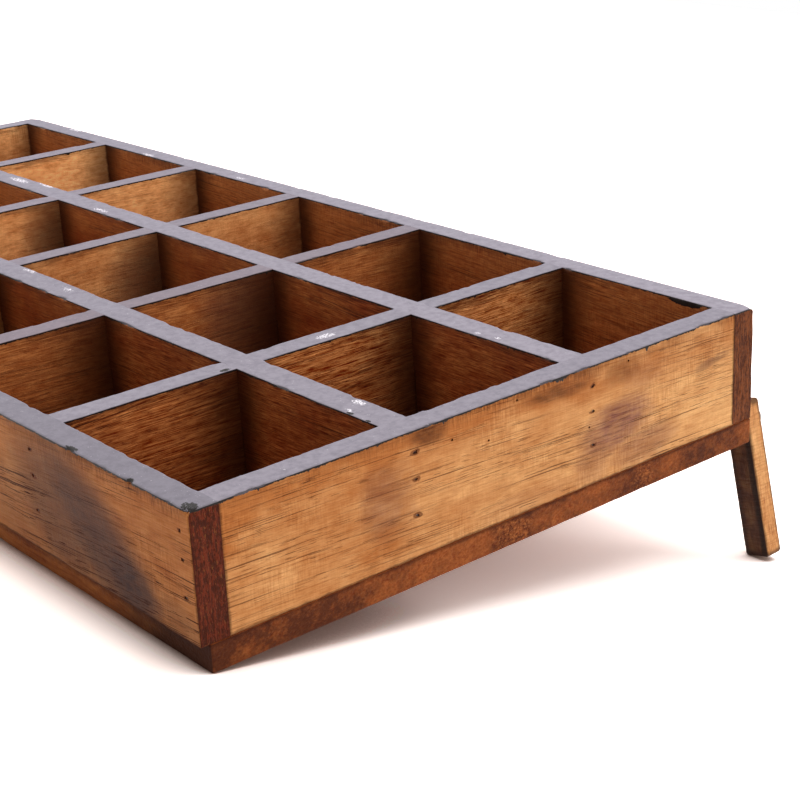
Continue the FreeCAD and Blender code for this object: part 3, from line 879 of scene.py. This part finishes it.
def cut_away(mesh, tool):
    """The mesh with the tool's volume taken out."""
    stock = bpy.data.objects.new("stock", mesh)
    cutter = bpy.data.objects.new("cutter", tool)
    for item in (stock, cutter):
        bpy.context.scene.collection.objects.link(item)
    saw = stock.modifiers.new("saw", "BOOLEAN")
    saw.operation = "DIFFERENCE"
    saw.solver = "EXACT"
    saw.object = cutter
    bpy.context.view_layer.update()
    made = bpy.data.meshes.new_from_object(stock.evaluated_get(bpy.context.evaluated_depsgraph_get()))
    for item in (stock, cutter):
        bpy.data.objects.remove(item)
    bpy.data.meshes.remove(mesh)
    bpy.data.meshes.remove(tool)
    return made


def make_board(board, shape, number, material, body):
    """Board as a rubbed, drilled and notched mesh that stands for its CAD node."""
    seed = DRAWS_PER_BOARD * number
    ease = shape.ease / MM * board.ease_share
    steps = (board.mesh_step, CROSSWISE_STEP, CROSSWISE_STEP)
    points, faces = box_skin([mesh_lines(size, step, ease) for size, step in zip(board.size, steps)])
    if board.rim:
        board.nicks = [*board.nicks, *stray_nicks(board, shape.nick / MM, seed + NICK_DRAWS)]
    points = hand_work(board, points, shape, seed)
    mesh = bpy.data.meshes.new(board.name)
    mesh.from_pydata(points.tolist(), [], faces.tolist())
    if board.bores or board.notches:
        mesh = cut_away(mesh, cutting_tool(board, shape.brad_mouth / MM, seed + TOOL_DRAWS))
    if not mesh.vertices:
        raise RuntimeError(f"{board.name}: nothing is left of the board after cutting")
    for name, source, items, domain in (("board_place", "co", mesh.vertices, "POINT"),
                                        ("board_facing", "normal", mesh.polygons, "FACE")):
        values = np.empty(len(items) * 3, np.float32)
        items.foreach_get(source, values)
        mesh.attributes.new(name, "FLOAT_VECTOR", domain).data.foreach_set("vector", values)
    matrix = board.matrix()
    mesh.transform(matrix)
    if matrix.determinant() < 0:
        mesh.flip_normals()
    mesh.shade_smooth()
    mesh.set_sharp_from_angle(angle=SHARP_ANGLE)
    mesh.materials.clear()
    mesh.materials.append(material)
    piece = bpy.data.objects.new(f"{board.name}_wood", mesh)
    bpy.context.scene.collection.objects.link(piece)
    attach(piece, body)
    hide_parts(board.name)


# A bore is its start, the axis it runs along, its depth, its radius and whether its mouth is torn.

def face_bores(places):
    """Brad holes through an outer board, torn along the grain at their mouths."""
    depth = FRAME_THICK + 2 * OVERRUN
    return [((u, -OVERRUN, w), 1, depth, BRAD_RADIUS, True) for u in places for w in BRAD_LEVELS]


def end_bores(length, thick):
    """Brad holes in both cut ends of a board."""
    depth = BRAD_REACH - FRAME_THICK + OVERRUN
    ends = ((-OVERRUN, depth), (length + OVERRUN, -depth))
    return [((u, thick / 2, w), 0, reach, BRAD_RADIUS, False) for u, reach in ends for w in BRAD_LEVELS]


def foot_bores(places, v):
    """Holes of the panel's brads in the lower edge of a board."""
    depth = BRAD_REACH - PANEL_THICK + OVERRUN
    return [((u, v, -OVERRUN), 2, depth, BRAD_RADIUS, False) for u in places]


def pin_holes(places):
    """Small stray holes in an outer face."""
    return [((u, -OVERRUN, w), 1, OVERRUN + STRAY_DEPTH, STRAY_RADIUS, False) for u, w in places]


def rim_nicks(deepest, *nicks):
    """Nicks in the outer upper edge, each by its place, half its length and its share of the deepest."""
    return [(TOP_OUTER, place, half, share * deepest) for place, half, share in nicks]


def covered_by(places, thick, edges=(TOP_INNER,)):
    """Stretches of the upper edges where another board meets this one and the paint fills the joint."""
    return [(edge, place - thick / 2, place + thick / 2) for edge in edges for place in places]


def side_board(name, corner_x, through, panel_brad, nicks, rounds):
    places = [FRAME_THICK / 2, *(y + HALF_LENGTH for y in CROSS_PLACES), TRAY_LENGTH - FRAME_THICK / 2]
    bores = face_bores(places) + foot_bores([y + HALF_LENGTH for y in PANEL_BRAD_PLACES], panel_brad)
    covered = covered_by(places, CROSS_THICK) + [(edge, 0, BOARD_HEIGHT) for edge in INNER_END_EDGES]
    return Board(
        name, (TRAY_LENGTH, FRAME_THICK, BOARD_HEIGHT), (corner_x, -HALF_LENGTH, 0), (0, 1, 0), through,
        bores=bores, nicks=nicks, rounds=rounds, covered=covered, mesh_step=1.2,
        cells=(FRAME_THICK / 2, ROW_PITCH, CROSS_THICK))


def end_board(name, corner_y, through, nicks, stray=()):
    places = [x - FRAME_THICK for x in LONG_PLACES]
    bores = face_bores(places) + end_bores(INNER_WIDTH, FRAME_THICK)
    bores += foot_bores([x - FRAME_THICK for x in END_BRAD_PLACES], FRAME_THICK / 2) + pin_holes(stray)
    return Board(
        name, (INNER_WIDTH, FRAME_THICK, BOARD_HEIGHT), (FRAME_THICK, corner_y, 0), (1, 0, 0), through,
        bores=bores, nicks=nicks, covered=covered_by(places, LONG_THICK), butted=True, mesh_step=1.2,
        cells=(places[0], COLUMN_PITCH, LONG_THICK))


def divider(name, length, thick, corner, along, through, places, notch, cells, **others):
    """Divider notched where others cross it; notch is half its width, its low end and its high end."""
    half, low, high = notch
    return Board(
        name, (length, thick, BOARD_HEIGHT), corner, along, through, bores=end_bores(length, thick),
        notches=[((u - half, -OVERRUN, low), (u + half, thick + OVERRUN, high)) for u in places],
        cells=(places[0], *cells), outer_face=False, butted=True, **others)


def long_divider(name, x):
    places = [y + INNER_LENGTH / 2 for y in CROSS_PLACES]
    notch = (CROSS_THICK / 2 + LAP_CLEARANCE, -OVERRUN, BOARD_HEIGHT / 2)
    return divider(
        name, INNER_LENGTH, LONG_THICK, (x - LONG_THICK / 2, -INNER_LENGTH / 2, 0), (0, 1, 0), (1, 0, 0),
        places, notch, (ROW_PITCH, CROSS_THICK), wobble_share=2.4,
        covered=covered_by(places, CROSS_THICK, (TOP_OUTER, TOP_INNER)))


def cross_divider(name, y):
    places = [x - FRAME_THICK for x in LONG_PLACES]
    notch = (LONG_THICK / 2 - JOINT_FILL, BOARD_HEIGHT / 2, BOARD_HEIGHT + OVERRUN)
    return divider(
        name, INNER_WIDTH, CROSS_THICK, (FRAME_THICK, y - CROSS_THICK / 2, 0), (1, 0, 0), (0, 1, 0),
        places, notch, (COLUMN_PITCH, LONG_THICK), wobble_share=4.5)


# Light gains above 1 lift a board's stain with painted light as well as a lighter tone.
FRAME_STAINS = {
    "front_side_board": Stain(
        outer=0.62, inner=0.45, seed=1, figure=(0.15, 0.5), grain_slope=0.06, clouds=0.3, end_tone=0.0,
        swirl=4.0, rim_dust_and_sheen=0.64, lines=1.8,
        smoke_and_shade_marks=[((8, 3), (16, 9), 0.3, 0.35), ((54, 18), (48, 21), 0.55, 0.92),
                ((36, 8), (26, 15), 0.5, 1.0), ((70, 18), (40, 28), 0.4, 0.75),
                ((92, 10), (46, 20), 0.3, 0.3), ((205, 16), (60, 18), 0.35, 0.4),
                ((335, 24), (54, 16), 0.25, 0.35), ((440, 10), (50, 16), -0.2, 0.4)],
        # The two pale spots at the near corner are painted glints on the chipped paint.
        scuffs_and_glints=[((3.2, 2.4), (3.0, 1.2), 0.14), ((1.6, 5.0), (1.0, 2.2), 0.14)],
        chips=[((2.8, 2.6), (4.6, 3.2)), ((29.4, 1.0), (2.0, 1.4)), ((61.3, 1.2), (4.5, 1.6))]),
    "back_side_board": Stain(
        outer=0.84, inner=0.52, seed=2, figure=(0.15, 0.5), grain_slope=-0.04, clouds=0.3, end_tone=1.0,
        drift=0.5, swirl=4.0, rim_dust_and_sheen=1.35, tone_and_light_gain=1.25, calm=0.6,
        smoke_and_shade_marks=[((120, 16), (62, 18), 0.35, 0.4), ((300, 24), (54, 16), -0.25, 0.35),
                ((430, 14), (44, 15), 0.25, 0.35)],
        spills=[((22, 41), (11, 3.6))],
        scuffs_and_glints=[((448.6, 2.0), (9, 2.6), 0.31), ((366.6, 8.5), (8, 2.2), 0.31),
                ((291.5, 7.0), (6, 2.2), 0.3)]),
    "near_end_board": Stain(
        outer=0.96, inner=0.45, seed=3, figure=(0.1, 0.5), grain_slope=0.03, clouds=0.1, drift=0.6, swirl=3.0,
        top_shade=0.45, rim_dust_and_sheen=1.2, lines=1.1,
        smudges=[((56, 22), (12, 15), 0.3, 0.5), ((153, 17), (22, 11), 0.2, 0.85),
                 ((166, 7), (20, 8), 0.1, 0.5), ((165, 31), (13, 7), 0.0, 0.3),
                 ((142, 9), (12, 11), 0.0, 0.4), ((112, 4), (26, 5), 0.0, 0.2)],
        smoke_and_shade_marks=[((199, 27), (11, 2.4), 0.15, 0.5)],
        scorches=[((74, 37.5), (11, 4), 0.0, 0.75), ((127, 36.5), (20, 4), 0.0, 0.6),
                  ((155, 36), (12, 6), 0.0, 0.4)],
        scuffs_and_glints=[((25, 4.4), (0.8, 0.8), 0.3)]),
    "far_end_board": Stain(
        outer=0.9, inner=0.85, seed=4, figure=(0.15, 0.2), grain_slope=0.02, clouds=0.2, coarse=0.4,
        pool=14.0, stain_and_shade_share=0.5, tone_and_light_gain=1.4,
        smudges=[((70, 18), (26, 12), 0.2, 0.8), ((160, 24), (20, 10), -0.2, 0.6)]),
}

# Coats of the two long dividers, front one first, and of the five cross dividers from the near end.
# Light gains above 1 here too add painted light to the stain.
PLAIN_COAT = dict(figure=(0.12, 0.5), coarse=0.3, rim_dust_and_sheen=0.55, rim_brown=0.2, lines=0.15, pool=24.0,
                  stain_and_shade_share=0.7, drift=0.3)
DIVIDER_COATS = [
    dict(outer=0.46, inner=0.46, figure=(0.43, 0.5), coarse=3.3, varnish=0.15, rim_dust_and_sheen=1.1, lines=0.8,
         drift=0.4, tone_and_light_gain=1.2, calm=0.8,
         scuffs_and_glints=[((19, 8.3), (4.6, 2.6), 0.3), ((16, 2.3), (3.0, 1.4), 0.28),
                 ((223, 9.5), (8, 2.2), 0.3), ((189, 6.8), (5.5, 2.4), 0.3)],
         chips=[((14, 1.0), (2.4, 1.0)), ((5, 0.8), (2.0, 0.8))]),
    dict(outer=0.48, inner=0.46, figure=(0.42, 0.5), coarse=2.8, rim_dust_and_sheen=1.3, lines=0.8, drift=0.4,
         tone_and_light_gain=1.25, calm=0.8,
         scuffs_and_glints=[((282, 3.1), (9, 2.4), 0.31), ((341, 10.2), (10, 2.6), 0.31),
                 ((361, 6.7), (13, 3.2), 0.33), ((39.5, 2.3), (2.4, 1.2), 0.3),
                 ((31, 3.1), (2.4, 1.2), 0.3)]),
    dict(outer=0.57, inner=0.5, figure=(0.42, 0.5), coarse=3.6, varnish=0.2, rim_dust_and_sheen=1.1, pool=30.0,
         drift=1.7, tone_and_light_gain=1.16,
         scuffs_and_glints=[((102.3, 4.6), (6.5, 3.2), 0.31)], chips=[((59.5, 2.0), (3.0, 1.8))]),
    # From the second cross divider on, the marks in the smoky colour are painted shade in the corner by the
    # back long divider.
    dict(outer=0.53, inner=0.5, figure=(0.42, 0.5), coarse=1.3, rim_dust_and_sheen=0.42, rim_brown=0.4, lines=0.6,
         pool=34.0, drift=0.2, tone_and_light_gain=1.15, smoke_and_shade_marks=[((124, 24), (28, 32), 0.2, 0.58)]),
    dict(PLAIN_COAT, outer=0.74, inner=0.55, tone_and_light_gain=1.34, drift=-0.2,
         smoke_and_shade_marks=[((132, 16), (26, 30), 0.2, 0.65)]),
    dict(PLAIN_COAT, outer=0.82, inner=0.6, tone_and_light_gain=1.6, smoke_and_shade_marks=[((133, 16), (20, 30), 0.2, 0.55)]),
    dict(PLAIN_COAT, outer=1.0, inner=0.6, tone_and_light_gain=1.68, smoke_and_shade_marks=[((133, 16), (18, 28), 0.2, 0.45)]),
]


class TRAY_OT_frame_boards(bpy.types.Operator):
    """Four outer boards with their brad holes, stain and black rim"""
    bl_idname = "tray.frame_boards"
    bl_label = "Frame boards"

    def execute(self, context):
        shape, dye = context.scene.tray_shape, palette(context.scene.tray_finish)
        nick = shape.nick / MM
        front = side_board(
            "front_side_board", 0, (1, 0, 0), FRONT_PANEL_BRADS,
            rim_nicks(nick, (10, 4.5, 0.4), (29.4, 1.8, 0.8), (44, 6.0, 0.3), (61.3, 4.0, 0.5),
                      (82, 3.0, 0.3), (142, 4.5, 0.5), (263, 3.2, 0.6), (371, 6.0, 0.5)),
            [(TOP_OUTER, 0, 7, 2.2), (NEAR_TOP_CUT, 0, 5, 1.8), (NEAR_CORNER, BOARD_HEIGHT, 6, 1.8)])
        back = side_board(
            "back_side_board", TRAY_WIDTH, (-1, 0, 0), FRAME_THICK / 2, rim_nicks(nick, (200, 3.0, 0.35)),
            [(TOP_OUTER, 0, 7, 2.4), (TOP_OUTER, TRAY_LENGTH, 9, 2.4), (NEAR_TOP_CUT, 0, 6, 1.6)])
        near = end_board(
            "near_end_board", -HALF_LENGTH, (0, 1, 0),
            rim_nicks(nick, (74, 3.0, 0.45), (137, 5.0, 0.5), (158, 2.5, 0.4)),
            stray=[(82.5, 33.0), (97.0, 28.5), (109.0, 38.0), (158.0, 37.6), (140.0, 20.0)])
        far = end_board(
            "far_end_board", HALF_LENGTH, (0, -1, 0), rim_nicks(nick, (52, 4.0, 0.6), (170, 3.0, 0.5)))
        for board in (front, back, near, far):
            stain = FRAME_STAINS[board.name]
            material = stained_wood(board, dye, stain)
            make_board(board, shape, stain.seed, material, "tray")
        return {"FINISHED"}


class TRAY_OT_dividers(bpy.types.Operator):
    """Two long and five cross dividers, lapped into each other"""
    bl_idname = "tray.dividers"
    bl_label = "Dividers"

    def execute(self, context):
        shape, dye = context.scene.tray_shape, palette(context.scene.tray_finish)
        boards = [long_divider("front_long_divider", LONG_PLACES[0]),
                  long_divider("back_long_divider", LONG_PLACES[1])]
        boards += [cross_divider(f"cross_divider_{n}", y) for n, y in enumerate(CROSS_PLACES, start=1)]
        for number, (board, coat) in enumerate(zip(boards, DIVIDER_COATS), start=FIRST_DIVIDER):
            stain = Stain(seed=number, grain_slope=0.02 * (number % 3 - 1), clouds=0.3, **coat)
            material = stained_wood(board, dye, stain)
            make_board(board, shape, number, material, "tray")
        return {"FINISHED"}


class TRAY_OT_bottom_panel(bpy.types.Operator):
    """Panel under the frame, rough sawn at its edges"""
    bl_idname = "tray.bottom_panel"
    bl_label = "Bottom panel"

    def execute(self, context):
        shape, dye = context.scene.tray_shape, palette(context.scene.tray_finish)
        width = TRAY_WIDTH - PANEL_SETBACK
        depth = PANEL_THICK + 2 * OVERRUN
        brads = [(x, y) for x in (FRONT_PANEL_BRADS, BACK_PANEL_BRADS) for y in PANEL_BRAD_PLACES]
        brads += [(x, y) for x in END_BRAD_PLACES for y in (-END_MIDDLE, END_MIDDLE)]
        bores = [((y + HALF_LENGTH, x - PANEL_SETBACK, -OVERRUN), 2, depth, BRAD_RADIUS, False)
                 for x, y in brads]
        level, reach = PIVOT_LEVEL + PANEL_THICK, -PILOT_DEPTH - OVERRUN
        bores += [((u, width + OVERRUN, level), 1, reach, PILOT_RADIUS, False)
                  for u in (PIVOT_FROM_END, TRAY_LENGTH - PIVOT_FROM_END)]
        nicks = [(NEAR_FOOT_CUT, 112, 3.0, 0.35), (NEAR_FOOT_CUT, 171, 3.0, 0.4),
                 (NEAR_FOOT_CUT, 205, 2.5, 0.3), (FRONT_FOOT, 34, 3.0, 0.3), (FRONT_FOOT, 120, 4.0, 0.4)]
        board = Board(
            "bottom_panel", (TRAY_LENGTH, width, PANEL_THICK), (PANEL_SETBACK, -HALF_LENGTH, -PANEL_THICK),
            (0, 1, 0), (1, 0, 0), bores=bores, nicks=nicks, rim=False, mesh_step=2.5)
        make_board(board, shape, PANEL, panel_wood(board, dye, PANEL), "tray")
        return {"FINISHED"}


class TRAY_OT_legs(bpy.types.Operator):
    """Two square-cut legs, each on one screw"""
    bl_idname = "tray.legs"
    bl_label = "Legs"

    def execute(self, context):
        shape, dye = context.scene.tray_shape, palette(context.scene.tray_finish)
        for number, (name, sign) in enumerate((("near_leg", -1), ("far_leg", 1)), start=FIRST_LEG):
            pivot = Vector((TRAY_WIDTH + LEG_GAP, sign * (HALF_LENGTH - PIVOT_FROM_END), PIVOT_LEVEL)) * MM
            swing = STAND @ Matrix.Translation(pivot) @ Matrix.Rotation(sign * LEG_SPLAY, 4, "X")
            hole = (LEG_LENGTH - LEG_HEAD, -OVERRUN, LEG_WIDTH / 2)
            board = Board(
                name, (LEG_LENGTH, LEG_THICK, LEG_WIDTH), (0, sign * LEG_WIDTH / 2, LEG_HEAD - LEG_LENGTH),
                (0, 0, 1), (1, 0, 0), (0, -sign, 0), frame=swing, rim=False, mesh_step=1.2, ease_share=1.15,
                bores=[(hole, 1, LEG_THICK + 2 * OVERRUN, LEG_BORE, False)])
            make_board(board, shape, number, leg_wood(board, dye, number), name)
        return {"FINISHED"}


class TRAY_OT_fixings(bpy.types.Operator):
    """Steel of the brads and zinc of the leg screws"""
    bl_idname = "tray.fixings"
    bl_label = "Brads and screws"

    def execute(self, context):
        dye = palette(context.scene.tray_finish)
        metals = {"_brads": metal("brad_steel_dull", dye.steel, dye.umber, 0.6),
                  "_screw": metal("screw_zinc_dull", dye.zinc, dye.bruise, 0.2)}
        for name, node in frame["nodes"].items():
            for ending, material in metals.items():
                if name.endswith(ending):
                    node.data.materials.clear()
                    node.data.materials.append(material)
        return {"FINISHED"}


class TRAY_OT_stage(bpy.types.Operator):
    """White floor, soft light and the camera"""
    bl_idname = "tray.stage"
    bl_label = "Stage"

    def execute(self, context):
        scene, stage = context.scene, context.scene.tray_stage
        scene.view_settings.view_transform = "Standard"
        self.floor(scene, stage)
        self.room(scene, stage)
        self.soft_light(scene, "main_light", stage.key, (0.04, 0.0, -1.0))
        self.soft_light(scene, "front_light", stage.front, (0.0, 1.0, -0.15))
        self.soft_light(scene, "side_light", stage.side, (-1.0, 0.1, -0.7))
        self.camera(scene, stage)
        return {"FINISHED"}

    def floor(self, scene, stage):
        """The camera sees the floor brighter than the tray does, so only the shade under it stays grey."""
        half = FLOOR_HALF_M
        corners = [(-half, -half, 0), (half, -half, 0), (half, half, 0), (-half, half, 0)]
        mesh = bpy.data.meshes.new("floor")
        mesh.from_pydata(corners, [], [(0, 1, 2, 3)])
        f = Finish(bpy.data.materials.new("floor_white"))
        under = f.add("AmbientOcclusion", {"Distance": SHADE_REACH * MM}, 1, samples=8)
        bright = f.mix(f.ease(under, 0.25, 0.72), SHADE_TINT, FLOOR_GLOW)
        shade = f.mix(f.seen(), linear(stage.floor), bright)
        mesh.materials.append(f.close(f.add("BsdfDiffuse", {"Color": shade})))
        floor = bpy.data.objects.new("floor", mesh)
        scene.collection.objects.link(floor)

    def room(self, scene, stage):
        """White all round for the camera and reflections; a softer, slightly warm light for the rest."""
        f = Finish(bpy.data.worlds.new("white_room"))
        warm = dimmed(ROOM_TINT, stage.fill)
        light = f.add("Background", {"Color": f.mix(f.seen(), warm, WHITE)})
        scene.world = f.close(light, "OutputWorld")

    def soft_light(self, scene, name, strength, towards):
        """Wide soft light that shines one way; reflections don't show it."""
        light = bpy.data.lights.new(name, "SUN")
        light.energy = strength
        light.angle = LIGHT_WIDTH
        item = bpy.data.objects.new(name, light)
        item.rotation_euler = Vector(towards).to_track_quat("-Z", "Y").to_euler()
        item.visible_glossy = False
        scene.collection.objects.link(item)

    def camera(self, scene, stage):
        data = bpy.data.cameras.new("camera")
        data.lens = stage.lens
        camera = bpy.data.objects.new("camera", data)
        camera.location = CAMERA_PLACE_M
        camera.rotation_euler = [math.radians(turn) for turn in CAMERA_TURN_DEGREES]
        scene.collection.objects.link(camera)
        scene.camera = camera


OPERATORS = (TRAY_OT_frame_boards, TRAY_OT_dividers, TRAY_OT_bottom_panel, TRAY_OT_legs, TRAY_OT_fixings,
             TRAY_OT_stage)
SETTINGS = {"tray_shape": TrayShape, "tray_finish": TrayFinish, "tray_stage": TrayStage}


class TRAY_PT_dresser(bpy.types.Panel):
    """Sidebar panel with the tray's settings and steps"""
    bl_idname = "TRAY_PT_dresser"
    bl_label = "Compartment tray"
    bl_space_type = "VIEW_3D"
    bl_region_type = "UI"
    bl_category = "Tray"

    def draw(self, context):
        for name, group in SETTINGS.items():
            box = self.layout.box()
            for prop in group.__annotations__:
                box.prop(getattr(context.scene, name), prop)
        for operator in OPERATORS:
            self.layout.operator(operator.bl_idname)


CLASSES = (*SETTINGS.values(), *OPERATORS, TRAY_PT_dresser)


def register():
    for item in CLASSES:
        bpy.utils.register_class(item)
    for name, group in SETTINGS.items():
        setattr(bpy.types.Scene, name, bpy.props.PointerProperty(type=group))


def unregister():
    for name in SETTINGS:
        delattr(bpy.types.Scene, name)
    for item in reversed(CLASSES):
        bpy.utils.unregister_class(item)


def main():
    register()
    bpy.ops.tray.frame_boards()
    bpy.ops.tray.dividers()
    bpy.ops.tray.bottom_panel()
    bpy.ops.tray.legs()
    bpy.ops.tray.fixings()
    bpy.ops.tray.stage()


if __name__ == "__main__":
    main()
